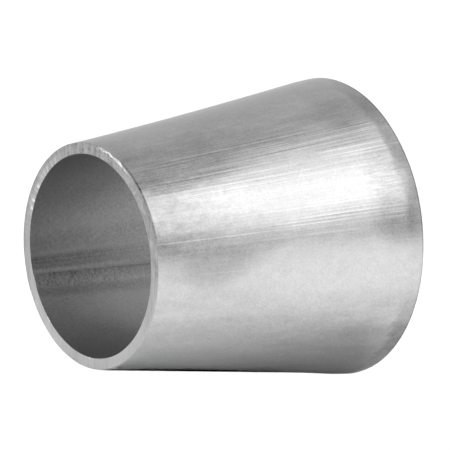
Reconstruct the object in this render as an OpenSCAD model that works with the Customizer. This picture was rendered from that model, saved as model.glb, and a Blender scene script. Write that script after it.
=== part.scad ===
// Concentric butt-weld reducer, 2 in to 1-1/2 in tube outside diameter.
// A thin conical shell, formed from seam-welded tube and saw-cut square at both ends.
// The flow axis is X. The small end is at -X, the centre of the large end face is the
// origin, and +Z is up with the reducer in a horizontal run. All sizes are in millimetres.

/* [Ends] */
// Outside diameter of the large end, for 2 in tube
large_od = 50.8; // [48:0.1:56]
// Outside diameter of the small end, for 1-1/2 in tube
small_od = 38.1; // [32:0.1:42]
// Face-to-face length
body_length = 50.8; // [40:0.1:80]
// Wall at the large end, the wall of the tube that the shell is formed from
large_wall = 1.65; // [1.2:0.05:2.4]
// Wall at the small end, where reducing the tube has thickened it
small_wall = 1.88; // [1.2:0.05:2.4]

/* [Sizing band] */
// Width of the flatter band that the sizing die leaves at the large end
band_width = 2.7; // [1:0.1:6]
// Outside diameter where the cone meets the band
band_od = 50.15; // [49.7:0.05:50.3]

/* [Seam weld] */
// Width of the longitudinal seam weld
weld_width = 2.5; // [1.5:0.1:4]
// Height of the root bead above the inside of the wall
root_height = 0.25; // [0.1:0.05:0.5]
// Angle of the seam below +Y, about the flow axis
seam_angle = 22; // [0:1:90]

/* [Hidden] */
$fn = 180;

large_r = large_od / 2;
small_r = small_od / 2;
band_r = band_od / 2;
large_bore_r = large_r - large_wall;
small_bore_r = small_r - small_wall;

// Rise of the bore radius for each millimetre along the axis, and the angle that this makes
bore_slope = (large_bore_r - small_bore_r) / body_length;
bore_angle = atan(bore_slope);

// The root bead is the low crown of a round bar that lies along the seam
crown_r = (pow(weld_width / 2, 2) + pow(root_height, 2)) / (2 * root_height);

// How far cutting shapes run past the faces that they cut
overrun = 2;

// Turns a profile of [radius, place along the flow axis] about the flow axis
module turned(profile) {
    rotate([0, 90, 0])
        rotate_extrude()
            polygon(profile);
}

// The outside of the reducer, solid to its axis: a cone, then the sizing band
module outer_form() {
    turned([
        [0, -body_length],
        [small_r, -body_length],
        [band_r, -band_width],
        [large_r, 0],
        [0, 0]
    ]);
}

// The conical bore, run past both end faces
module flow_bore() {
    turned([
        [0, -body_length - overrun],
        [small_bore_r - bore_slope * overrun, -body_length - overrun],
        [large_bore_r + bore_slope * overrun, overrun],
        [0, overrun]
    ]);
}

// The slot that the seam weld fills, from inside the bore to outside the wall
module seam_slot() {
    rotate([-seam_angle, 0, 0])
        translate([-body_length - overrun, small_bore_r / 2, -weld_width / 2])
            cube([body_length + 2 * overrun, large_r, weld_width]);
}

// The round bar whose crown is the root bead, parallel to the bore wall at the seam
module root_crown() {
    rotate([-seam_angle, 0, 0])
        translate([0, large_bore_r, 0])
            rotate([0, 0, bore_angle])
                translate([-body_length - 2 * overrun, crown_r - root_height, 0])
                    rotate([0, 90, 0])
                        cylinder(h = body_length + 4 * overrun, r = crown_r);
}

// The formed wall, open along the seam
module reducer_shell() {
    color([0.72, 0.72, 0.72])
        difference() {
            outer_form();
            flow_bore();
            seam_slot();
        }
}

// The weld metal: flush with the wall outside, with a low crowned bead in the bore
module seam_weld() {
    color([0.55, 0.55, 0.55])
        difference() {
            intersection() {
                outer_form();
                seam_slot();
            }
            difference() {
                flow_bore();
                root_crown();
            }
        }
}

reducer_shell();
seam_weld();
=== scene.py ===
"""Looks of a concentric butt-weld reducer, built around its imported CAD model.

The reducer lies on its side on a pale floor, with its small end towards the camera. All sizes are
in metres in the row frame: the flow axis is X, with the small end at -X, and the origin is the
centre of the large end face. Angles about the flow axis are measured from +Y towards +Z.
"""

import math

import bpy
import numpy as np
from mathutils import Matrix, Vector


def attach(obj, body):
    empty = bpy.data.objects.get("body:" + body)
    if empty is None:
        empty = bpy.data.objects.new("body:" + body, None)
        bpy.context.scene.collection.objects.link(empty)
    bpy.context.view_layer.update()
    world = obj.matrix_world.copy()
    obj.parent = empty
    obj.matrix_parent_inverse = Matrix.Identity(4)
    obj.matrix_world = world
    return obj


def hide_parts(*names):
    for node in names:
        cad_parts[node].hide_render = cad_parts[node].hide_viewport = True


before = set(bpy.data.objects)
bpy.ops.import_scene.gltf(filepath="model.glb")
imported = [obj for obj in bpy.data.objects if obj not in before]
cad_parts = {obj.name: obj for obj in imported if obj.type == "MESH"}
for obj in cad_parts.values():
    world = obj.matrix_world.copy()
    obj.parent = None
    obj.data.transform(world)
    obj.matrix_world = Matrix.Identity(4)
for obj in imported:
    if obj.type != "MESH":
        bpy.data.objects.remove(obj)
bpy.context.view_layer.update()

MM = 0.001
MICRON = MM / 1000
TURN = 2 * math.pi

# ---------------------------------------------------------------- sizes of the CAD model

# The width of the sizing band is the CAD source's. The other sizes are read from the model.
BAND_WIDTH = 2.7 * MM


def points_of(node):
    """A CAD node's points as rows of x, y, z."""
    return np.array([v.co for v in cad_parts[node].data.vertices], float)


def ring_radii(points, x, tolerance=0.02 * MM):
    """Smallest and largest distance from the flow axis of the points at one place along it."""
    ring = points[np.abs(points[:, 0] - x) < tolerance]
    radii = np.hypot(ring[:, 1], ring[:, 2])
    return radii.min(), radii.max()


def seam_of(points):
    """The seam's angle about the flow axis, and the width of the weld."""
    y, z = points[:, 1].mean(), points[:, 2].mean()
    angle = math.atan2(z, y)
    across = points[:, 2] * math.cos(angle) - points[:, 1] * math.sin(angle)
    return angle, across.max() - across.min()


SHELL_POINTS = points_of("reducer_shell")
SMALL_X, LARGE_X = SHELL_POINTS[:, 0].min(), SHELL_POINTS[:, 0].max()
MIDDLE_X = (SMALL_X + LARGE_X) / 2
LENGTH = LARGE_X - SMALL_X
BAND_X = LARGE_X - BAND_WIDTH
SMALL_BORE_R, SMALL_R = ring_radii(SHELL_POINTS, SMALL_X)
LARGE_BORE_R, LARGE_R = ring_radii(SHELL_POINTS, LARGE_X)
SEAM_ANGLE, WELD_WIDTH = seam_of(points_of("seam_weld"))
HALF_WELD = WELD_WIDTH / 2

# ---------------------------------------------------------------- smooth curves and noise

NOISE_VALUES = 4096
# Where noise along a length, in metres, and round the axis, in radians, starts in its table
LENGTH_START = 1
ANGLE_START = 10
# Seeds of the random values, one for each kind of unevenness
SAW_COARSE, SAW_FINE = 3, 4
BEAD_DRIFT, BEAD_JITTER, BEAD_SWELL = 11, 12, 13
FILE_COARSE, FILE_FINE = 31, 32
BURR_COARSE, BURR_FINE = 33, 34
LARGE_EDGE = 35
SCORE_SEED = 8
DENT_SEED = 21


def smooth_step(x, start, end):
    """0 before start, 1 after end, and a smooth rise between them."""
    t = np.clip((x - start) / (end - start), 0, 1)
    return t * t * (3 - 2 * t)


def plateau(x, start, end, fade):
    """1 between start and end and 0 outside, with a smooth change over fade on both sides of each."""
    return smooth_step(x, start - fade, start + fade) * (1 - smooth_step(x, end - fade, end + fade))


def angle_from(angle, centre):
    """Signed angle from a centre, between half a turn back and half a turn forward."""
    return (angle - centre + math.pi) % TURN - math.pi


def hump(angle, centre, spread, power=2):
    """1 at a centre and falling to 0 on both sides of it, with a flatter top for a higher power."""
    return np.exp(-((angle_from(angle, centre) / spread) ** power))


def soft_noise(values, seed, spacing):
    """Smooth random heights from -1 to 1 along a line, one random value at each spacing."""
    table = np.random.default_rng(seed).uniform(-1, 1, NOISE_VALUES)
    place = np.asarray(values) / spacing
    cell = np.floor(place).astype(int)
    part = smooth_step(place - cell, 0, 1)
    return table[cell % NOISE_VALUES] * (1 - part) + table[(cell + 1) % NOISE_VALUES] * part


def noise_along(length, seed, spacing):
    """Soft noise over a length in metres, positive or negative."""
    return soft_noise(length + LENGTH_START, seed, spacing)


def noise_round(angle, seed, spacing):
    """Soft noise over an angle about the flow axis."""
    return soft_noise(angle + ANGLE_START, seed, spacing)


# ---------------------------------------------------------------- shape of the formed wall

# The cone's hollow between its ends, and how much faster it falls towards the large end
BOW_DEPTH = 0.225 * MM
BOW_FALL = 1.1
# The section's faults: an oval, a flat at the small end and a hollow along the lowest line
OVALITY = 0.115 * MM
SMALL_END_FLAT = 0.05 * MM
REST_HOLLOW = 0.11 * MM
REST_ANGLE = math.radians(260)
REST_SPREAD = math.radians(20)
# The sizing band's rise, the length of its bend, and its wandering edge with one bulge
BAND_SLOPE = 0.094
BAND_BEND = 0.5 * MM
BAND_WANDER = 0.5 * MM
BAND_SHIFT = 0.3
BULGE = 1.8
BULGE_ANGLE = math.radians(153)
BULGE_SPREAD = math.radians(8)
# The waves and dents of forming, and how far the outside is sunk to stay inside the CAD model
WAVE_HEIGHT = 0.012 * MM
WAVE_SINK = 2.4
BORE_WAVE_TURN = 0.3
DENT_HEIGHT = 0.004 * MM
DENT_WAVES = 26


def bow(t):
    """Sag of the cone between its ends, from 0 to 1, deepest a little nearer to the small end."""
    peak = 1 / (1 + BOW_FALL)
    shape = t * (1 - t) ** BOW_FALL
    return shape / (peak * (1 - peak) ** BOW_FALL)


def band_edge(angle):
    """Where the sizing band starts: it wanders a little round the reducer, with one bulge."""
    wander = 0.5 * np.sin(5 * angle + 0.4) + 0.35 * np.sin(9 * angle + 2.0)
    wander = wander + 0.3 * np.sin(17 * angle + 1.0)
    bulge = BULGE * hump(angle, BULGE_ANGLE, BULGE_SPREAD)
    return BAND_X + BAND_WANDER * (BAND_SHIFT + wander + bulge)


def outer_line(x, band_x=BAND_X):
    """Outside radius of the wall: a slightly hollow cone, then the flatter sizing band."""
    t = (x - SMALL_X) / (BAND_X - SMALL_X)
    cone_slope = (LARGE_R - BAND_SLOPE * BAND_WIDTH - SMALL_R) / (BAND_X - SMALL_X)
    cone = SMALL_R + cone_slope * (x - SMALL_X) - BOW_DEPTH * bow(np.clip(t, 0, 1))
    turn = np.clip((x - band_x) / BAND_BEND + 0.5, 0, 1)
    past = np.where(turn < 1, BAND_BEND * turn**2 / 2, x - band_x)
    return cone - (cone_slope - BAND_SLOPE) * past


def inner_line(x):
    """Radius of the bore."""
    t = (x - SMALL_X) / LENGTH
    return SMALL_BORE_R + (LARGE_BORE_R - SMALL_BORE_R) * t - BOW_DEPTH * bow(np.clip(t, 0, 1))


def oval(x, angle):
    """How far the section is out of round: longest at 45 degrees, flatter at the small end and below."""
    t = np.clip((x - SMALL_X) / LENGTH, 0, 1)
    flat = SMALL_END_FLAT * (1 - t) * np.cos(2 * angle)
    below = REST_HOLLOW * bow(t) * hump(angle, REST_ANGLE, REST_SPREAD)
    return OVALITY * np.sin(2 * angle) + flat - below


def forming_waves(x, angle):
    """Slow unevenness left by forming, from -1 to 1: long waves round the wall and two faint sets."""
    along = (x - SMALL_X) / LENGTH
    long_waves = 0.5 * np.sin(2 * angle + 0.7) + 0.3 * np.sin(3 * angle + 2.1 + 1.3 * along)
    short_waves = 0.12 * np.sin(11 * angle + 3 * along) * np.sin(2.2 + 5 * along)
    ripples = 0.06 * np.sin(23 * angle + 1.1 - 4 * along) * np.cos(1.0 + 7 * along)
    return long_waves + short_waves + ripples


def shallow_dents(x, angle):
    """Soft ripples a few millimetres across, from about -1 to 1."""
    total = np.zeros(np.broadcast(x, angle).shape)
    rng = np.random.default_rng(DENT_SEED)
    turns_along = TURN * (x - SMALL_X) / LENGTH
    for _ in range(DENT_WAVES):
        waves_round = rng.integers(7, 34)
        waves_along = rng.uniform(-9, 9)
        phase = rng.uniform(0, TURN)
        total += np.sin(waves_round * angle + waves_along * turns_along + phase)
    return total / 6


# ---------------------------------------------------------------- scores drawn along the outside

# The sector that the forming die dragged over, and the number and usual depth of its scores
DRAWN_FROM = math.radians(115)
DRAWN_TO = math.radians(174)
DRAWN_SCORES = 150
DRAWN_DEPTH = 4.0 * MICRON
OTHER_SCORES = 70
OTHER_DEPTH = 1.2 * MICRON
# Two bunches of deeper scores, with angles in degrees, and one long score
BUNCH_FADE = 5 * MM
UPPER_SCORES = 40
UPPER_ANGLE = 134
UPPER_SPREAD = 5.5
LOWER_SCORES = 14
LOWER_ANGLE = 166
LOWER_SPREAD = 2.2
LONG_SCORE_ANGLE = math.radians(167)
LONG_SCORE_WIDTH = 0.13 * MM
LONG_SCORE_DEPTH = 12 * MICRON
LONG_SCORE_END = SMALL_X + 0.55 * LENGTH
LONG_SCORE_FADE = 6 * MM


def one_score(x, angle, centre, width, x_from, x_to, fade):
    """A narrow groove along the axis that fades out at both ends, from 0 to 1."""
    across = angle_from(angle, centre) * SMALL_R / width
    return np.exp(-(across**2)) * plateau(x, x_from, x_to, fade)


def scattered_scores(rng, x, angle):
    """Depth of the scores that lie anywhere: most are in the drawn sector, and some are ridges."""
    depth = np.zeros(np.broadcast(x, angle).shape)
    for i in range(DRAWN_SCORES + OTHER_SCORES):
        drawn = i < DRAWN_SCORES
        centre = rng.uniform(DRAWN_FROM, DRAWN_TO) if drawn else rng.uniform(0, TURN)
        width = rng.uniform(0.06, 0.15) * MM
        size = rng.normal(0, DRAWN_DEPTH if drawn else OTHER_DEPTH)
        middle = SMALL_X + rng.uniform(0, 1) * LENGTH
        half = rng.uniform(0.12, 0.7) * LENGTH
        fade = rng.uniform(1.5, 8) * MM
        depth += size * one_score(x, angle, centre, width, middle - half, middle + half, fade)
    return depth


def bunched_scores(rng, x, angle):
    """Depth of the upper bunch, which starts at the small end, and the lower, which ends at the band."""
    depth = np.zeros(np.broadcast(x, angle).shape)
    for degrees in rng.normal(UPPER_ANGLE, UPPER_SPREAD, UPPER_SCORES):
        width = rng.uniform(0.06, 0.11) * MM
        size = rng.uniform(2.5, 6.0) * MICRON
        x_to = SMALL_X + rng.uniform(0.25, 0.8) * LENGTH
        depth += size * one_score(x, angle, math.radians(degrees), width, SMALL_X, x_to, BUNCH_FADE)
    for degrees in rng.normal(LOWER_ANGLE, LOWER_SPREAD, LOWER_SCORES):
        width = rng.uniform(0.07, 0.15) * MM
        size = rng.uniform(3.0, 7.0) * MICRON
        x_from = SMALL_X + rng.uniform(0.2, 0.6) * LENGTH
        depth += size * one_score(x, angle, math.radians(degrees), width, x_from, BAND_X, BUNCH_FADE)
    return depth


def score_depth(x, angle):
    """Depth of all the scores on the outside."""
    rng = np.random.default_rng(SCORE_SEED)
    depth = scattered_scores(rng, x, angle) + bunched_scores(rng, x, angle)
    long_score = one_score(
        x, angle, LONG_SCORE_ANGLE, LONG_SCORE_WIDTH, SMALL_X, LONG_SCORE_END, LONG_SCORE_FADE
    )
    return depth + LONG_SCORE_DEPTH * long_score


def outer_radius(x, angle):
    """Radius of the outside with all its faults."""
    waves = WAVE_HEIGHT * (forming_waves(x, angle) - WAVE_SINK)
    uneven = waves + DENT_HEIGHT * shallow_dents(x, angle)
    return outer_line(x, band_edge(angle)) + oval(x, angle) + uneven - score_depth(x, angle)


def inner_radius(x, angle):
    """Radius of the bore with all its faults."""
    return inner_line(x) + oval(x, angle) + WAVE_HEIGHT * forming_waves(x, angle + BORE_WAVE_TURN)


# ---------------------------------------------------------------- mesh tools

SHARP_ANGLE = math.radians(32)


def mesh_object(name, points, faces, materials, material_of=None):
    """A smooth-shaded mesh object in the row frame."""
    mesh = bpy.data.meshes.new(name)
    mesh.from_pydata(points.tolist(), [], faces)
    for material in materials:
        mesh.materials.append(material)
    if material_of is not None:
        mesh.polygons.foreach_set("material_index", material_of)
    mesh.polygons.foreach_set("use_smooth", [True] * len(mesh.polygons))
    mesh.set_sharp_from_angle(angle=SHARP_ANGLE)
    mesh.validate()
    mesh.update()
    piece = bpy.data.objects.new(name, mesh)
    bpy.context.scene.collection.objects.link(piece)
    return piece


def tube_faces(stations, around):
    """Quads of a tube of closed loops, then one polygon to close each end."""
    faces = []
    for i in range(stations - 1):
        for j in range(around):
            k = (j + 1) % around
            a, b = i * around, (i + 1) * around
            faces.append((a + j, a + k, b + k, b + j))
    last = (stations - 1) * around
    faces.append(tuple(range(around - 1, -1, -1)))
    faces.append(tuple(range(last, last + around)))
    return faces


# ---------------------------------------------------------------- the shell

# Columns round the shell, packed closer over the drawn sector, and how smoothly they close up
SHELL_COLUMNS = 1200
COLUMN_SAMPLES = 4000
DENSE_GAIN = 2.4
DENSE_FADE = 0.05
# Rows of the section: the closest ones are just behind the filed edge of the small end
NEAR_EDGE = (0.15 * MM, 0.29 * MM, 0.65 * MM)
EVEN_FROM = 2 * MM
BODY_ROWS = 21
BAND_ROWS = 15
OUTSIDE_ROWS = BODY_ROWS + BAND_ROWS
BORE_ROWS = 26
FACE_ROWS = 5
EDGE_ROWS = 3
# Where the body's rows stop and the band's rows start, before the band
BODY_STOP = 1.5 * MM
BAND_START = 1.2 * MM
# Share of the wall, from the bore to the outside, that each end face's rows run over
FACE_START = 0.02
LARGE_FACE_SHARE = 0.90
SMALL_FACE_SHARE = 0.96
# The broken outer edges: at the large end, then at the small end away from the filed part and on it
LARGE_BREAK = 0.06 * MM
EDGE_BREAK = 0.09 * MM
FILED_BREAK = 0.68 * MM
FILED_DEPTH = 0.10 * MM
FILED_ANGLE = math.radians(182)
FILED_SPREAD = math.radians(46)
EDGE_ROUNDING = 1.6
SAW_DEPTH = 0.006 * MM
BURR_HEIGHT = 0.17 * MM
BURR_FROM = math.radians(98)
BURR_TO = math.radians(131)
BURR_FADE = 0.12
# The part of a half sine that the burr follows, from the outside to the face
LIP_FROM, LIP_TURN = 0.15, 0.5
# The surface that a row of the section lies on, and the shell's material slots
OUTSIDE, LARGE_FACE, BORE, SMALL_FACE = range(4)
DRAWN_SLOT, BORE_SLOT, CUT_SLOT = range(3)


def section_loop():
    """The wall's section as three arrays: x, share of the wall from bore to outside, and surface.

    The loop runs along the outside to the large end, across its face, back along the bore and
    across the small face. The rows of the two broken outer edges are added to it later.
    """
    near = SMALL_X + np.array(NEAR_EDGE)
    far = np.linspace(SMALL_X + EVEN_FROM, BAND_X - BODY_STOP, BODY_ROWS - len(near))
    band = np.linspace(BAND_X - BAND_START, LARGE_X - 2 * LARGE_BREAK, BAND_ROWS)
    bore = np.linspace(LARGE_X, SMALL_X, BORE_ROWS)
    across = np.linspace(0, 1, FACE_ROWS + 2)[1:-1]
    parts = [
        (np.concatenate([near, far]), np.ones(BODY_ROWS), OUTSIDE),
        (band, np.ones(BAND_ROWS), OUTSIDE),
        (np.full(FACE_ROWS, LARGE_X), LARGE_FACE_SHARE * (1 - across) + FACE_START, LARGE_FACE),
        (bore, np.zeros(BORE_ROWS), BORE),
        (np.full(FACE_ROWS, SMALL_X), SMALL_FACE_SHARE * across + FACE_START, SMALL_FACE),
    ]
    x = np.concatenate([p[0] for p in parts])
    share = np.concatenate([p[1] for p in parts])
    surface = np.concatenate([np.full(len(p[0]), p[2]) for p in parts])
    return x, share, surface


def column_places():
    """Places round the shell from 0 to 1, closer together over the sector with the drawn scores."""
    place = np.linspace(0, 1, COLUMN_SAMPLES)
    angle = (SEAM_ANGLE + place * TURN) % TURN
    rise = smooth_step(angle, DRAWN_FROM - DENSE_FADE, DRAWN_FROM)
    fall = 1 - smooth_step(angle, DRAWN_TO, DRAWN_TO + DENSE_FADE)
    steps = 1 + DENSE_GAIN * rise * fall
    travelled = np.concatenate([[0], np.cumsum((steps[1:] + steps[:-1]) / 2)])
    return np.interp(np.linspace(0, travelled[-1], SHELL_COLUMNS), travelled, place)


def saw_marks(y):
    """Height of the saw's straight scores across a cut face, which run up and down it."""
    return 0.6 * noise_along(y, SAW_COARSE, 0.55 * MM) + 0.4 * noise_along(y, SAW_FINE, 0.26 * MM)


def edge_break(angle):
    """Width and depth of the filed outer edge of the small end, widest where the file worked most."""
    filed = hump(angle, FILED_ANGLE, FILED_SPREAD, power=4)
    uneven = 1 + 0.14 * noise_round(angle, FILE_COARSE, 0.16) + 0.07 * noise_round(angle, FILE_FINE, 0.03)
    width = (EDGE_BREAK + (FILED_BREAK - EDGE_BREAK) * filed) * uneven
    depth = (EDGE_BREAK / 2 + (FILED_DEPTH - EDGE_BREAK / 2) * filed) * uneven
    return width, depth


def burr_lip(angle):
    """Height of the ragged burr left on the outer edge of the small end."""
    rise = smooth_step(angle, BURR_FROM, BURR_FROM + BURR_FADE)
    fall = 1 - smooth_step(angle, BURR_TO - BURR_FADE, BURR_TO)
    teeth = 0.45 * noise_round(angle, BURR_COARSE, 0.045) + 0.6 * noise_round(angle, BURR_FINE, 0.014)
    return BURR_HEIGHT * rise * fall * np.clip(0.5 + teeth, 0, 1)


def corner(angle, end_x, inward, width, depth, lip):
    """Rows round an outer corner, from the outside to the face: their x, radius and angle."""
    t = np.linspace(0, 1, EDGE_ROWS)
    outside = outer_radius(end_x + inward * depth * (1 - t), angle)
    x = end_x + inward * depth * (1 - t) ** EDGE_ROUNDING
    radius = outside - width * t**EDGE_ROUNDING + lip * np.sin(math.pi * (LIP_FROM + LIP_TURN * t))
    return np.stack([x, radius, angle + 0 * t])


def small_corner(angle):
    """The filed and burred corner of the small end."""
    width, depth = edge_break(angle)
    return corner(angle, SMALL_X + SAW_DEPTH, 1, width, depth, burr_lip(angle))


def large_corner(angle):
    """The lightly broken corner of the large end."""
    size = LARGE_BREAK * (1 + 0.2 * noise_round(angle, LARGE_EDGE, 0.07))
    return corner(angle, LARGE_X - SAW_DEPTH, -1, size, size, 0)


def wall_grid():
    """The x, radius and angle of every point of the wall, in columns from one side of the seam round."""
    x, share, surface = section_loop()
    mean_r = inner_line(x) * (1 - share) + outer_line(x) * share
    gap = np.arcsin(HALF_WELD / mean_r)
    angle = (SEAM_ANGLE + gap + column_places()[:, None] * (TURN - 2 * gap)) % TURN
    xs = np.broadcast_to(x, angle.shape).copy()
    radius = inner_radius(xs, angle)
    walls = share > 0
    outer = outer_radius(xs[:, walls], angle[:, walls])
    filed_width, _ = edge_break(angle[:, walls])
    outer -= np.where(surface[walls] == SMALL_FACE, filed_width, 0)
    radius[:, walls] = radius[:, walls] * (1 - share[walls]) + outer * share[walls]
    for face, inward in ((surface == SMALL_FACE, 1), (surface == LARGE_FACE, -1)):
        marks = saw_marks(radius[:, face] * np.cos(angle[:, face]))
        xs[:, face] += inward * SAW_DEPTH * (1 + marks)
    outside, rest = np.split(np.stack([xs, radius, angle]), [OUTSIDE_ROWS], axis=2)
    at_large = large_corner(angle[:, OUTSIDE_ROWS - 1:OUTSIDE_ROWS])
    at_small = small_corner(angle[:, :1])[:, :, ::-1]
    return np.concatenate([outside, at_large, rest, at_small], axis=2)


def make_shell(materials):
    """The formed wall: a closed strip swept about the flow axis from one side of the seam to the other."""
    x, radius, angle = wall_grid()
    points = np.stack([x, radius * np.cos(angle), radius * np.sin(angle)], axis=-1).reshape(-1, 3)
    loop_slots = [DRAWN_SLOT] * (OUTSIDE_ROWS + EDGE_ROWS - 1)
    loop_slots += [CUT_SLOT] * (FACE_ROWS + 1)
    loop_slots += [BORE_SLOT] * (BORE_ROWS - 1)
    loop_slots += [CUT_SLOT] * (FACE_ROWS + EDGE_ROWS)
    loop_slots += [DRAWN_SLOT]
    material_of = loop_slots * (SHELL_COLUMNS - 1) + [BORE_SLOT] * 2
    faces = tube_faces(SHELL_COLUMNS, len(loop_slots))
    shell = mesh_object("formed_shell", points, faces, materials, material_of)
    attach(shell, "root")
    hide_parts("reducer_shell")


# ---------------------------------------------------------------- the seam weld

WELD_STATIONS = 460
ROOT_POINTS = 21
CAP_POINTS = 11
ROOT_HEIGHT = 0.22 * MM
RIPPLE_PITCH = 0.52 * MM
RIPPLE_DEPTH = 0.035 * MM
TOE_DEPTH = 0.035 * MM
TOE_PLACE = 0.95
TOE_SPREAD = 0.05
CROWN_EDGE = 0.93
BEAD_SLOT, CAP_SLOT, END_SLOT = range(3)


def root_bead(x, u):
    """Height of the root bead above the bore wall, with crescent ripples and a groove along each toe."""
    side = u / HALF_WELD
    crown = np.clip(1 - (side / CROWN_EDGE) ** 2, 0, 1) ** 0.8
    wander = 0.35 * noise_along(x, BEAD_DRIFT, 2.1 * MM) + 0.25 * noise_along(x, BEAD_JITTER, 0.9 * MM)
    phase = x / RIPPLE_PITCH + 0.45 * side**2 + wander
    ripple = 0.5 + 0.5 * np.sin(TURN * phase)
    swell = 1 + 0.12 * noise_along(x, BEAD_SWELL, 3.4 * MM)
    toe = np.exp(-(((np.abs(side) - TOE_PLACE) / TOE_SPREAD) ** 2))
    return ROOT_HEIGHT * swell * crown - RIPPLE_DEPTH * crown**0.5 * ripple - TOE_DEPTH * toe


def make_weld(materials):
    """The weld metal: a closed bar swept along the seam, crowned in the bore and flush outside."""
    x = np.linspace(SMALL_X + SAW_DEPTH, LARGE_X - SAW_DEPTH, WELD_STATIONS)[:, None]
    root_u = np.linspace(-HALF_WELD, HALF_WELD, ROOT_POINTS)
    cap_u = np.linspace(HALF_WELD, -HALF_WELD, CAP_POINTS)
    root_r = inner_radius(x, SEAM_ANGLE + root_u / SMALL_BORE_R)
    cap_r = outer_radius(x, SEAM_ANGLE + cap_u / SMALL_R)
    root_v = np.sqrt(root_r**2 - root_u**2) - root_bead(x, root_u)
    cap_v = np.sqrt(cap_r**2 - cap_u**2)
    v = np.concatenate([root_v, cap_v], axis=1)
    u = np.broadcast_to(np.concatenate([root_u, cap_u]), v.shape)
    y = v * math.cos(SEAM_ANGLE) - u * math.sin(SEAM_ANGLE)
    z = v * math.sin(SEAM_ANGLE) + u * math.cos(SEAM_ANGLE)
    points = np.stack([np.broadcast_to(x, v.shape), y, z], axis=-1).reshape(-1, 3)
    loop_slots = [BEAD_SLOT] * (ROOT_POINTS - 1) + [CAP_SLOT] * (CAP_POINTS + 1)
    material_of = loop_slots * (WELD_STATIONS - 1) + [END_SLOT] * 2
    faces = tube_faces(WELD_STATIONS, len(loop_slots))
    weld = mesh_object("seam_weld_bead", points, faces, materials, material_of)
    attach(weld, "root")
    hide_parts("seam_weld")


# ---------------------------------------------------------------- node tools


class Graph:
    """The nodes of one material or world, with short calls for making and joining them."""

    def __init__(self, owner):
        owner.use_nodes = True
        self.owner = owner
        self.nodes = owner.node_tree.nodes
        self.links = owner.node_tree.links
        self.shader = self.nodes.get("Principled BSDF")

    def feed(self, socket, value):
        """Link a socket or set a number."""
        if isinstance(value, bpy.types.NodeSocket):
            self.links.new(value, socket)
        else:
            socket.default_value = value

    def set(self, **values):
        """Set numbers on the shader, by the names of its sockets with underscores for spaces."""
        for name, value in values.items():
            self.shader.inputs[name.replace("_", " ")].default_value = value

    def node(self, kind, *values):
        """A new node with its first inputs fed in order."""
        node = self.nodes.new(kind)
        for socket, value in zip(node.inputs, values):
            self.feed(socket, value)
        return node

    def math(self, operation, *values):
        node = self.node("ShaderNodeMath", *values)
        node.operation = operation
        return node.outputs[0]

    def add(self, *values):
        total = values[0]
        for value in values[1:]:
            total = self.math("ADD", total, value)
        return total

    def times(self, *values):
        product = values[0]
        for value in values[1:]:
            product = self.math("MULTIPLY", product, value)
        return product

    def without(self, value):
        """1 less the value."""
        return self.math("SUBTRACT", 1.0, value)

    def swing(self, noise, amount, *masks):
        """Noise from 0 to 1, centred on 0 and scaled."""
        return self.times(self.add(noise, -0.5), amount, *masks)

    def blend_range(self, value, low, high, to_low=0.0, to_high=1.0):
        """A smooth ramp from to_low to to_high as the value goes from low to high."""
        node = self.node("ShaderNodeMapRange", value, low, high, to_low, to_high)
        node.interpolation_type = "SMOOTHSTEP"
        return node.outputs[0]

    def window(self, value, low, high, soft):
        """1 between low and high and 0 outside, with soft edges."""
        rise = self.blend_range(value, low - soft, low + soft)
        fall = self.blend_range(value, high - soft, high + soft, 1.0, 0.0)
        return self.times(rise, fall)

    def vector(self, *values):
        return self.node("ShaderNodeCombineXYZ", *values).outputs[0]

    def noise(self, vector, detail, roughness):
        """Noise from 0 to 1 over a vector that is already in cells."""
        node = self.nodes.new("ShaderNodeTexNoise")
        self.feed(node.inputs["Vector"], vector)
        node.inputs["Scale"].default_value = 1.0
        node.inputs["Detail"].default_value = detail
        node.inputs["Roughness"].default_value = roughness
        return node.outputs[0]

    def grey(self, socket, value):
        """Link one number to a colour socket as a neutral grey."""
        self.feed(socket, self.node("ShaderNodeCombineColor", value, value, value).outputs[0])

    def bump(self, height, distance):
        """Tilt the shader's normal by a height from 0 to 1 over a distance in metres."""
        node = self.nodes.new("ShaderNodeBump")
        node.inputs["Distance"].default_value = distance
        self.feed(node.inputs["Height"], height)
        self.feed(self.shader.inputs["Normal"], node.outputs[0])

    def spread_round_axis(self, amount):
        """Stretch the reflections round the flow axis, as scores along it do."""
        tangent = self.nodes.new("ShaderNodeTangent")
        tangent.direction_type = "RADIAL"
        tangent.axis = "X"
        self.feed(self.shader.inputs["Tangent"], tangent.outputs[0])
        self.set(Anisotropic=amount)


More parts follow.
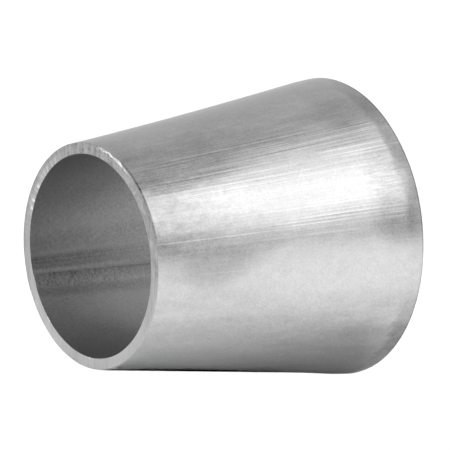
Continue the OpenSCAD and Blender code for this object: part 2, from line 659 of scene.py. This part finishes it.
class Place:
    """Where a surface point is on the reducer, as sockets: all lengths are in millimetres."""

    def __init__(self, graph):
        self.graph = graph
        coordinates = graph.nodes.new("ShaderNodeTexCoord")
        split = graph.node("ShaderNodeSeparateXYZ", coordinates.outputs["Object"])
        self.x, self.y, self.z = (graph.times(s, 1 / MM) for s in split.outputs)
        squares = graph.add(graph.times(self.y, self.y), graph.times(self.z, self.z))
        self.radius = graph.math("SQRT", squares)
        self.from_small = graph.add(self.x, LENGTH / MM)
        self.cos = graph.math("DIVIDE", self.y, self.radius)
        self.sin = graph.math("DIVIDE", self.z, self.radius)
        out_of_round = graph.times(self.sin, self.cos, -2 * OVALITY / MM)
        self.round_radius = graph.add(self.radius, out_of_round)

    def cells(self, along, around, seed=0.0):
        """A vector that has one cell every so many millimetres along the axis and around it."""
        g = self.graph
        ring = SMALL_R / MM / around
        return g.vector(
            g.add(g.times(self.x, 1 / along), seed),
            g.add(g.times(self.cos, ring), seed * 1.7),
            g.times(self.sin, ring),
        )

    def rings(self, radial, turns):
        """A vector with so many cells in each millimetre of radius, and so many round the axis."""
        g = self.graph
        return g.vector(g.times(self.radius, radial), g.times(self.cos, turns), g.times(self.sin, turns))

    def side(self, degrees):
        """Cosine of the angle between the point and a direction about the axis."""
        g = self.graph
        angle = math.radians(degrees)
        return g.add(g.times(self.cos, math.cos(angle)), g.times(self.sin, math.sin(angle)))

    def across(self, degrees):
        """Sine of the angle from a direction about the axis to the point, 1 a quarter turn on."""
        g = self.graph
        angle = math.radians(degrees)
        return g.add(g.times(self.sin, math.cos(angle)), g.times(self.cos, -math.sin(angle)))

    def facing(self, degrees):
        """1 on the half of the reducer that faces a direction about the axis."""
        return self.graph.math("GREATER_THAN", self.side(degrees), 0.0)

    def sector(self, degrees, outer, inner):
        """1 within the inner angle of a direction about the axis, fading to 0 at the outer angle."""
        low, high = math.cos(math.radians(outer)), math.cos(math.radians(inner))
        return self.graph.blend_range(self.side(degrees), low, high)

    def scratch(self, degrees, half_width, start, end, fade):
        """A thin line along the axis, 1 in its middle, between two distances from the small end."""
        g = self.graph
        offset = g.times(self.across(degrees), self.radius)
        line = g.window(offset, -half_width, half_width, half_width)
        return g.times(line, g.window(self.from_small, start, end, fade), self.facing(degrees))

    def patch(self, degrees, from_small, half_angle, half_length, ragged):
        """A soft-edged patch of surface, 1 in its middle, with an edge that follows ragged noise."""
        g = self.graph
        turned = g.times(self.across(degrees), 1 / math.sin(math.radians(half_angle)))
        along = g.times(g.add(self.from_small, -from_small), 1 / half_length)
        far = g.math("SQRT", g.add(g.times(turned, turned), g.times(along, along)))
        uneven = g.add(far, g.add(ragged, -0.5))
        return g.times(g.blend_range(uneven, 0.35, 1.25, 1.0, 0.0), self.facing(degrees))

    def patches(self, spots, ragged):
        """A sum of patches, each with its strength first."""
        g = self.graph
        return g.add(*(g.times(strength, self.patch(*spot, ragged)) for strength, *spot in spots))

    def rim(self, from_radius, to_radius, soft):
        """A strip of the small end's face between two radii in millimetres."""
        return self.graph.window(self.round_radius, from_radius, to_radius, soft)


def new_material(name):
    """The graph of a new material."""
    return Graph(bpy.data.materials.new(name))


# ---------------------------------------------------------------- the drawn outside

OUTSIDE_GREY = 0.60

# Patches of the outside. Each row is a strength, an angle in degrees, a distance from the small
# end, half a width in degrees and half a length; distances and lengths are in millimetres.
# Darker patches: painted shade that dims the glare and its edges, partly a duller finish.
SHADE_AND_DULL_DRIFTS = (
    (0.26, 124, 0, 18, 29),  # broad grey sector above the glare, from the small end
    (0.12, 121, 34, 9, 22),  # its tail towards the large end
    (0.16, 132, 8, 8, 18),  # upper edge of the glare
    (0.07, 161, 9, 5, 15),  # inside the glare, near the small end
    (0.20, 170, 7, 7, 24),  # lower edge of the glare
    (0.15, 170, 36, 8, 18),  # the same edge towards the large end
    (0.24, 180, 10.5, 9, 9),  # darker patch below the glare
    (0.09, 213, 18, 9, 34),  # long belt below the pale side
)
SHADE_AND_DULL_CLOUDS = (
    (0.08, 104, 0, 17, 5),  # top of the small end
    (0.20, 155, -2, 24, 17),  # start of the glare
    (0.05, 162, 19, 6, 7),  # thin cloud in the glare
    (0.08, 170, 1.5, 5, 4),  # lower edge of the glare at the small end
    (0.14, 243, 1.5, 8, 4),  # underside of the small end
    (0.08, 130, 38, 5, 9),  # upper edge of the glare towards the large end
    (0.13, 117, 44, 10, 9),  # above the glare, near the band
    (0.14, 150, 50, 20, 7),  # end of the glare, on the band
    (0.05, 147, 46, 8, 4),  # foot of the band in the glare
    (0.15, 168, 45.5, 13, 4),  # foot of the band below the glare
    (0.14, 170, 47.5, 8, 6),  # the band below the glare
    (0.06, 218, 43, 8, 5),  # low on the side, near the band
    (0.09, 222, 43, 12, 16),  # wider darker patch round it
    (0.06, 228, 38, 20, 22),  # underside towards the large end
)
# Painted highlight: a brighter patch in the glare.
PAINTED_GLARE_DRIFTS = (
    (0.14, 145, 12, 5, 8),  # brightest part of the glare's start
)
# Painted light: lighter patches where the lit floor is reflected.
PAINTED_LIGHT_CLOUDS = (
    (0.22, 187, 38, 14, 28),  # pale side, towards the large end
    (0.07, 187, 2, 10, 8),  # pale side, at the small end
    (0.16, 240, 6, 26, 28),  # underside towards the small end
)
# Bright scratches along the axis: strength, angle, half width, start, end and fade
SCRATCHES = (
    (0.30, 166.8, 0.07, -2, 24, 5),
    (0.18, 183.3, 0.06, 9, 17, 4),
    (0.22, 138.2, 0.08, 44, 52, 1.2),
)


def score_tones(g, place):
    """Thin light and dark lines along the axis where the die scored the wall most."""
    upper = g.window(place.across(130), -0.14, 0.23, 0.05)
    lower = g.window(place.across(167), -0.08, 0.09, 0.03)
    scored = g.add(
        g.times(upper, g.blend_range(place.from_small, 0.0, 12.0, 0.3, 1.3)),
        g.times(lower, g.blend_range(place.from_small, 12.0, 28.0, 0.1, 0.8)),
    )
    patchy = g.noise(place.cells(13.0, 1.3, 19.0), 1.5, 0.5)
    fading = g.blend_range(patchy, 0.36, 0.60, 0.2, 1.0)
    lines = g.noise(place.cells(46.0, 0.30, 15.0), 1.0, 0.5)
    fine_lines = g.noise(place.cells(38.0, 0.17, 17.0), 0.5, 0.5)
    thin = g.add(
        g.times(0.12, g.blend_range(lines, 0.56, 0.72)),
        g.times(-0.15, g.blend_range(lines, 0.44, 0.30)),
        g.times(0.30, g.blend_range(fine_lines, 0.56, 0.74)),
        g.times(-0.22, g.blend_range(fine_lines, 0.40, 0.26)),
    )
    return g.times(thin, scored, fading, place.facing(143))


def band_mask(g, place, cloud, streak):
    """1 on the sizing band, with a ragged foot."""
    foot = g.add(place.from_small, g.swing(cloud, 2.4), g.swing(streak, 3.0))
    return g.blend_range(foot, 47.3, 48.8)


def painted_end_shade(g, place):
    """Painted shade: dark lines along the two ends, by the burr and the glare of the small end, and at the
    large end.
    """
    small_end = g.window(place.from_small, -1.0, 0.42, 0.1)
    large_end = g.window(place.from_small, LENGTH / MM - 0.26, LENGTH / MM + 1.0, 0.12)
    by_burr = place.sector(140, 28, 16)
    by_glare = place.sector(150, 17, 8)
    beside = g.add(g.times(by_burr, -0.24), g.times(by_glare, -0.20))
    return g.add(g.times(small_end, beside), g.times(large_end, -0.30))


def drawn_steel():
    """Outside of the shell: pickled steel with scores along it, matte mottling, duller patches with painted
    shade, painted glare and light in lighter patches, and painted shade along the ends.
    """
    g = new_material("drawn_steel")
    place = Place(g)
    cloud = g.noise(place.cells(9.0, 5.0), 5.0, 0.62)
    drift = g.noise(place.cells(11.0, 4.0, 13.0), 1.5, 0.4)
    mottle = g.noise(place.cells(1.6, 1.1, 7.0), 4.0, 0.65)
    grain = g.noise(place.cells(0.35, 0.28, 3.0), 2.0, 0.6)
    hair = g.noise(place.cells(14.0, 0.16, 5.0), 3.0, 0.6)
    streak = g.noise(place.cells(30.0, 0.8, 9.0), 3.0, 0.6)
    rings = g.noise(place.cells(0.22, 7.0, 11.0), 2.0, 0.5)
    smudges = g.noise(place.cells(7.0, 1.5, 27.0), 3.5, 0.6)
    foot_scores = g.noise(place.cells(2.4, 0.28, 23.0), 2.0, 0.6)
    drawn = place.sector(143, 48, 22)
    matte = g.without(drawn)
    band = band_mask(g, place, cloud, streak)
    blotched = g.times(place.patch(150, 5, 17, 18, drift), g.add(mottle, g.times(cloud, 0.8), -0.9))
    band_foot = g.times(place.patch(151, 45.5, 12, 5, cloud), g.add(foot_scores, -0.52))
    shade = g.add(
        1.0,
        # Painted shade on the band: it dims the glare there, partly a duller finish, and darkens the band's
        # lower side.
        g.times(band, place.sector(140, 46, 26), -0.16),
        g.times(band, place.sector(238, 44, 20), -0.26),
        g.swing(cloud, 0.18),
        g.swing(mottle, 0.26),
        g.swing(grain, 0.44),
        g.swing(streak, 0.20, drawn),
        g.swing(hair, 0.30, drawn),
        g.swing(smudges, 0.34, place.sector(234, 52, 24)),
        g.times(score_tones(g, place), g.without(band)),
        g.times(0.34, blotched),
        g.times(0.6, band_foot),
        # Painted shade along both ends.
        painted_end_shade(g, place),
        # Painted shade in the darker patches, partly a duller finish; painted glare and light in the
        # lighter ones.
        g.times(place.patches(SHADE_AND_DULL_DRIFTS, drift), -1.0),
        g.times(place.patches(SHADE_AND_DULL_CLOUDS, cloud), -1.0),
        place.patches(PAINTED_GLARE_DRIFTS, drift),
        place.patches(PAINTED_LIGHT_CLOUDS, cloud),
        *(g.times(strength, place.scratch(*line)) for strength, *line in SCRATCHES),
    )
    height = g.add(
        g.times(hair, g.add(0.25, g.times(drawn, 0.9))),
        g.times(grain, g.add(0.30, g.times(matte, 0.25))),
        g.times(rings, 0.20, matte),
        g.times(mottle, 0.8),
    )
    g.set(Metallic=1)
    g.grey(g.shader.inputs["Base Color"], g.times(shade, OUTSIDE_GREY))
    g.feed(g.shader.inputs["Roughness"], g.add(0.35, g.swing(cloud, 0.16), g.swing(mottle, 0.10)))
    g.bump(height, 0.006 * MM)
    g.spread_round_axis(0.75)
    return g.owner


# ---------------------------------------------------------------- the bore

BORE_GREY = 0.36

# Painted light: brighter patches of the bore, in the same terms as those of the outside
BORE_PAINTED_LIGHT = (
    (0.16, 160, 8, 34, 18),  # near wall, on the camera's side
    (0.20, 238, 6, 36, 18),  # lower part of the near wall
    (0.38, 319, 26, 18, 18),  # below the seam, deeper in
)


def heat_bands(g, place):
    """Dark bands that the weld's heat left along both sides of it, clearest near the small end."""
    wander = g.swing(g.noise(place.cells(5.0, 40.0, 6.0), 2.0, 0.5), 0.03)
    offset = g.add(place.across(math.degrees(SEAM_ANGLE)), wander)
    near_mouth = g.blend_range(place.from_small, 12.0, 30.0, 1.0, 0.3)
    bands = g.add(
        g.times(0.25, near_mouth, g.window(offset, 0.105, 0.236, 0.022)),
        g.times(0.13, near_mouth, g.window(offset, 0.25, 0.42, 0.05)),
        g.times(0.06, g.window(offset, 0.165, 0.178, 0.004)),
        g.times(0.08, g.window(offset, 0.196, 0.208, 0.004)),
        g.times(0.10, g.window(offset, 0.04, 0.085, 0.014)),
        g.times(0.17, g.window(offset, -0.165, -0.078, 0.03)),
    )
    fade = g.blend_range(place.from_small, 0.0, 30.0, 1.5, 0.9)
    return g.times(bands, place.facing(math.degrees(SEAM_ANGLE)), fade)


def bore_steel():
    """Inside of the shell: dull grey, with heat bands along both sides of the weld and painted light in
    brighter patches.
    """
    g = new_material("bore_steel")
    place = Place(g)
    cloud = g.noise(place.cells(7.0, 5.0, 2.0), 4.0, 0.6)
    grain = g.noise(place.cells(0.4, 0.4, 4.0), 3.0, 0.7)
    shade = g.add(
        1.0,
        # Painted light in brighter patches.
        place.patches(BORE_PAINTED_LIGHT, cloud),
        g.swing(cloud, 0.20),
        g.swing(grain, 0.95),
        g.times(heat_bands(g, place), -1.0),
    )
    g.set(Metallic=1)
    g.grey(g.shader.inputs["Base Color"], g.times(shade, BORE_GREY))
    g.feed(g.shader.inputs["Roughness"], g.add(0.42, g.swing(cloud, 0.1)))
    g.bump(g.add(grain, g.times(cloud, 0.5)), 0.006 * MM)
    return g.owner


# ---------------------------------------------------------------- the cut end faces

CUT_GREY = 0.46
RIM_OUT = SMALL_R / MM
RIM_IN = SMALL_BORE_R / MM
# Nicked parts of the small end's inner strip, in the same terms as the patches of the outside
NICKED = (
    (1.0, 44, 0, 26, 2),
    (0.8, 134, 0, 13, 2),
)
# Angles in degrees of the small end's painted glints: bright dots on the bore's edge, and wider bright
# gouges
GLINT_DOT_ANGLES = (270.5, 312.7, 314.6)
GLINT_GOUGE_ANGLES = (19.5, 24.4, 34.0)


def rim_spots(g, place, angles, half_angle):
    """1 in narrow spots at some angles round the rim of the small end."""
    return g.add(*(place.patch(angle, 0, half_angle, 2, 0.5) for angle in angles))


def torn_glint_strip(g, place, strokes):
    """1 where the outer edge of the rim was torn into the burr; the burr is smoother there and carries a
    painted highlight.
    """
    tears = g.blend_range(g.noise(place.rings(1 / 0.16, 15), 3.0, 0.6), 0.44, 0.54)
    strip = place.rim(RIM_OUT - 0.52, RIM_OUT + 0.3, 0.1)
    return g.times(strip, place.patch(112, 0, 16, 4, strokes), tears)


def rim_tones(g, place, strokes, fine):
    """Tones of the small end's rim: nicks, painted glints on specks, painted shade on the chamfer's strip
    and crease, and a painted shaded outline.
    """
    nicked = place.patches(NICKED, strokes)
    nicked = g.times(nicked, place.rim(RIM_IN - 0.3, RIM_OUT - 0.85, 0.2))
    nicks = g.times(nicked, g.blend_range(strokes, 0.42, 0.64))
    # Painted shade on the chamfer's crease and outer strip.
    crest_shade = g.times(place.rim(RIM_OUT - 0.72, RIM_OUT - 0.60, 0.06), place.patch(193, 0, 40, 9, strokes))
    shaded_outer_strip = g.times(place.rim(RIM_OUT - 0.72, RIM_OUT + 0.3, 0.1), place.patch(28, 0, 52, 2, strokes))
    mottle = g.noise(place.rings(1.7, 30), 2.5, 0.6)
    not_filed = g.blend_range(place.side(335), -0.35, 0.2)
    # Painted glints on specks and gouges of the bore's edge.
    glint_dots = g.times(rim_spots(g, place, GLINT_DOT_ANGLES, 0.65), place.rim(RIM_IN - 0.3, RIM_IN + 0.18, 0.08))
    glint_gouges = g.times(rim_spots(g, place, GLINT_GOUGE_ANGLES, 1.0), place.rim(RIM_IN - 0.3, RIM_IN + 0.75, 0.3))
    # Painted shade along the outer edge.
    shade_outline = g.times(place.rim(RIM_OUT - 0.17, RIM_OUT + 0.5, 0.05), not_filed)
    smudge = g.times(place.patch(284, 0, 3.2, 2, strokes), g.blend_range(fine, 0.4, 0.6))
    return g.add(
        g.times(nicks, 0.34),
        g.times(glint_dots, 1.2),
        g.times(glint_gouges, 0.75),
        g.times(shaded_outer_strip, -0.10),
        g.times(crest_shade, -0.22),
        g.swing(mottle, 0.8, place.patch(98, 0, 34, 2, strokes)),
        g.times(shade_outline, -0.36),
        g.times(smudge, -0.16),
    )


def cut_steel():
    """End faces and filed edges: bright saw scores up and down, crossed by a few file strokes, with painted
    shade towards the top and in a mottled patch, and a painted highlight on the torn burr.
    """
    g = new_material("cut_steel")
    place = Place(g)
    coarse = g.noise(g.vector(0.0, g.times(place.y, 1 / 0.34), g.times(place.z, 1 / 12.0)), 3.0, 0.6)
    fine = g.noise(g.vector(5.0, g.times(place.y, 1 / 0.11), g.times(place.z, 1 / 5.0)), 2.0, 0.6)
    strokes = g.noise(place.rings(0.35, 52), 3.0, 0.65)
    uneven = g.noise(place.rings(1.1, 9), 2.0, 0.6)
    at_small = g.math("LESS_THAN", place.from_small, 1.0)
    filed = g.times(g.blend_range(place.side(48), 0.66, 0.92), g.blend_range(strokes, 0.46, 0.66))
    # Darker saw scores at the top of the face: painted shade as well as the scores' own tone.
    scored = g.times(g.blend_range(place.side(86), 0.84, 0.97), g.blend_range(coarse, 0.52, 0.40))
    # The torn burr: lower roughness, and a painted highlight in its colour.
    torn_and_glint = g.times(torn_glint_strip(g, place, strokes), at_small)
    # Painted shade in a mottled patch of the face.
    shaded_mottle = place.patch(160, 0, 34, 9, strokes)
    shade = g.add(
        0.97,
        g.swing(g.blend_range(coarse, 0.36, 0.64), 0.16),
        g.swing(g.blend_range(fine, 0.34, 0.66), 0.14),
        g.times(filed, 0.20),
        g.times(scored, g.blend_range(uneven, 0.40, 0.60), -0.30),
        g.times(shaded_mottle, g.add(-0.10, g.swing(uneven, 0.9))),
        g.times(torn_and_glint, 1.4),
        g.times(rim_tones(g, place, strokes, fine), at_small),
        # Painted shade: the face is lighter towards the bottom and darker towards the top.
        g.blend_range(place.z, 2.0, -15.0, 0.0, 0.07),
        g.times(place.z, -0.0065),
    )
    g.set(Metallic=1)
    g.grey(g.shader.inputs["Base Color"], g.times(shade, CUT_GREY))
    g.feed(g.shader.inputs["Roughness"], g.add(0.36, g.times(coarse, 0.12), g.times(torn_and_glint, -0.18)))
    g.bump(g.add(g.times(coarse, 0.8), g.times(fine, 0.4), g.times(filed, 0.6)), 0.014 * MM)
    return g.owner


# ---------------------------------------------------------------- the root bead

BEAD_GREY = 0.345


def bead_steel():
    """Root bead of the weld: as cast, with fine grain and rippled mottling, darker towards the small end.
    """
    g = new_material("bead_steel")
    place = Place(g)
    grain = g.noise(place.cells(0.34, 0.34, 1.0), 1.5, 0.7)
    ripples = g.noise(place.cells(0.42, 1.4, 8.0), 1.5, 0.6)
    clear = g.blend_range(place.from_small, 6.0, 26.0, 1.0, 0.45)
    # Darker towards the small end and lighter deeper in.
    darker_to_mouth = g.blend_range(place.from_small, 0.0, 22.0, 0.80, 1.18)
    shade = g.add(1.0, g.swing(grain, 1.5, clear), g.swing(ripples, 1.3, clear))
    g.set(Metallic=1)
    g.grey(g.shader.inputs["Base Color"], g.times(shade, darker_to_mouth, BEAD_GREY))
    g.feed(g.shader.inputs["Roughness"], g.add(0.42, g.times(ripples, 0.12)))
    g.bump(g.add(grain, ripples), 0.03 * MM)
    return g.owner


# ---------------------------------------------------------------- camera

VIEW_AZIMUTH = -37.0
VIEW_ELEVATION = 9.44
VIEW_DISTANCE = 1097 * MM
AIM_RIGHT = 2.20 * MM
AIM_UP = 2.68 * MM
SENSOR_WIDTH = 36.0
LENS = 520.6
CLIP_START = 0.05
CLIP_END = 20


def direction(azimuth, elevation):
    """Unit vector from the object to a place seen at that azimuth and elevation, in degrees."""
    a, e = math.radians(azimuth), math.radians(elevation)
    return Vector((math.sin(a) * math.cos(e), -math.cos(a) * math.cos(e), math.sin(e)))


def put_facing(thing, back, place):
    """Put an object at a place, facing away from its back vector, and link it to the scene."""
    thing.location = place
    thing.rotation_mode = "QUATERNION"
    thing.rotation_quaternion = (-back).to_track_quat("-Z", "Y")
    bpy.context.scene.collection.objects.link(thing)


def make_camera():
    """A long lens, a little above the reducer and on the side of its small end."""
    data = bpy.data.cameras.new("camera")
    data.sensor_width = SENSOR_WIDTH
    data.lens = LENS
    data.clip_start, data.clip_end = CLIP_START, CLIP_END
    camera = bpy.data.objects.new("camera", data)
    back = direction(VIEW_AZIMUTH, VIEW_ELEVATION)
    right = Vector((0, 0, 1)).cross(back).normalized()
    aim = right * AIM_RIGHT + back.cross(right) * AIM_UP
    put_facing(camera, back, Vector((MIDDLE_X, 0, 0)) + back * VIEW_DISTANCE + aim)
    bpy.context.scene.camera = camera


# ---------------------------------------------------------------- floor

FLOOR_REACH = 3.0
FLOOR_NEAR = 0.2
FLOOR_STEPS = 161
FLOOR_GREY = 0.85
FLOOR_GLOW = 0.95
GLOW_STRENGTH = 1.08
FLOOR_FLAT = 36 * MM
FLOOR_BEND_END = 150 * MM
# The contact shadow's half width in millimetres at the large end, which grows to the small end
SHADOW_REACH = 1.25
SHADOW_GROWTH = 0.010
SHADOW_EDGE = 0.93
SHADOW_FADE = 3
SHADOW_GREY = 0.04


def floor_heights(xs):
    """Floor height under the axis: it follows the shell's lowest line, then levels off on both sides."""
    slope = -(LARGE_R - SMALL_R) / LENGTH
    fall = 1 - smooth_step(np.abs(xs - MIDDLE_X), FLOOR_FLAT, FLOOR_BEND_END)
    steps = np.concatenate([[0], np.diff(xs) * (fall[1:] + fall[:-1]) / 2 * slope])
    heights = np.cumsum(steps)
    at_middle = np.interp(MIDDLE_X, xs, heights)
    return heights - at_middle - (LARGE_R + SMALL_R) / 2


def floor_material():
    """Pale and matt: white to the camera, apart from a thin contact shadow under the shell."""
    g = new_material("pale_floor")
    g.set(Roughness=0.9, Specular_IOR_Level=0.0)
    place = Place(g)
    half_length = LENGTH / 2 / MM
    from_contact = g.add(g.math("ABSOLUTE", place.y), g.times(place.x, SHADOW_GROWTH))
    from_middle = g.math("ABSOLUTE", g.add(place.x, half_length))
    beside = g.blend_range(from_contact, SHADOW_REACH * SHADOW_EDGE, SHADOW_REACH)
    beyond = g.blend_range(from_middle, half_length - SHADOW_FADE, half_length)
    clear = g.math("MAXIMUM", beside, beyond)
    g.grey(g.shader.inputs["Base Color"], g.add(SHADOW_GREY, g.times(clear, FLOOR_GREY - SHADOW_GREY)))
    glow = g.node("ShaderNodeEmission", (1, 1, 1, 1), GLOW_STRENGTH)
    seen = g.nodes.new("ShaderNodeLightPath").outputs["Is Camera Ray"]
    share = g.times(seen, clear, FLOOR_GLOW)
    mix = g.node("ShaderNodeMixShader", share, g.shader.outputs[0], glow.outputs[0])
    g.feed(g.nodes["Material Output"].inputs["Surface"], mix.outputs[0])
    return g.owner


def make_floor():
    """A wide floor under the shell."""
    near = np.linspace(-FLOOR_NEAR, FLOOR_NEAR, FLOOR_STEPS)
    xs = np.concatenate([[-FLOOR_REACH], near, [FLOOR_REACH]])
    zs = floor_heights(xs)
    points = np.array([(x, y, z) for y in (-FLOOR_REACH, FLOOR_REACH) for x, z in zip(xs, zs)])
    n = len(xs)
    faces = [(i, i + 1, n + i + 1, n + i) for i in range(n - 1)]
    mesh_object("floor", points, faces, [floor_material()])


# ---------------------------------------------------------------- lights and backdrop

SKY_TOP = 0.47
SKY_RIM = 1.1
SKY_FADE = 3.0
SKY_ON_FLOOR = 0.33
# Azimuth and elevation of the middle of a dim part of the sky, left of the camera
DIM_QUARTER = (-62, 5)
DIM_LEVEL = 0.25
DIM_OUTER = math.radians(50)
DIM_INNER = math.radians(22)


def make_area(name, azimuth, elevation, distance, size, radiance, in_gloss=True, on_floor=True):
    """A soft rectangular light that faces the object, with its radiance in scene units."""
    width, height = size
    data = bpy.data.lights.new(name, "AREA")
    data.shape = "RECTANGLE"
    data.size, data.size_y = width, height
    data.energy = radiance * math.pi * width * height
    lamp = bpy.data.objects.new(name, data)
    lamp.visible_glossy = in_gloss
    lamp.visible_diffuse = on_floor
    lamp.visible_camera = False
    back = direction(azimuth, elevation)
    put_facing(lamp, back, Vector((MIDDLE_X, 0, 0)) + back * distance)


def make_lights():
    """Two lights that only show in reflections, and two that only light the matt floor."""
    make_area("key_softbox", -3, 40.5, 2.4, size=(2.24, 1.40), radiance=3.6, on_floor=False)
    make_area("overhead", 52, 64, 2.4, size=(0.9, 0.9), radiance=0.70, on_floor=False)
    make_area("top_fill", -70, 77, 0.7, size=(0.56, 0.56), radiance=4.9, in_gloss=False)
    make_area("left_fill", -72, 19, 0.9, size=(0.5, 0.25), radiance=12.0, in_gloss=False)


def make_world():
    """White to the camera; in reflections brightest at the horizon; dim as a light for the floor."""
    world = bpy.data.worlds.new("studio")
    bpy.context.scene.world = world
    g = Graph(world)
    ray = g.nodes.new("ShaderNodeTexCoord").outputs["Generated"]
    height = g.math("ABSOLUTE", g.node("ShaderNodeSeparateXYZ", ray).outputs["Z"])
    low = g.math("POWER", g.without(height), SKY_FADE)
    sky = g.add(g.times(low, SKY_RIM - SKY_TOP), SKY_TOP)
    towards = g.node("ShaderNodeVectorMath", ray, direction(*DIM_QUARTER))
    towards.operation = "DOT_PRODUCT"
    dim = g.blend_range(towards.outputs["Value"], math.cos(DIM_OUTER), math.cos(DIM_INNER), 1.0, DIM_LEVEL)
    mirrored = g.nodes["Background"]
    mirrored.inputs["Color"].default_value = (1, 1, 1, 1)
    g.feed(mirrored.inputs["Strength"], g.times(sky, dim))
    ambient = g.node("ShaderNodeBackground", (SKY_ON_FLOOR, SKY_ON_FLOOR, SKY_ON_FLOOR, 1))
    white = g.node("ShaderNodeBackground", (1, 1, 1, 1))
    path = g.nodes.new("ShaderNodeLightPath")
    seen = mirrored.outputs[0]
    for kind, background in (("Is Diffuse Ray", ambient), ("Is Camera Ray", white)):
        mix = g.node("ShaderNodeMixShader", path.outputs[kind], seen, background.outputs[0])
        seen = mix.outputs[0]
    g.feed(g.nodes["World Output"].inputs["Surface"], seen)


# ---------------------------------------------------------------- the whole scene

outside, bore, cut, bead = drawn_steel(), bore_steel(), cut_steel(), bead_steel()
make_shell([outside, bore, cut])
make_weld([bead, outside, cut])
make_camera()
make_floor()
make_lights()
make_world()
bpy.context.scene.view_settings.view_transform = "Standard"
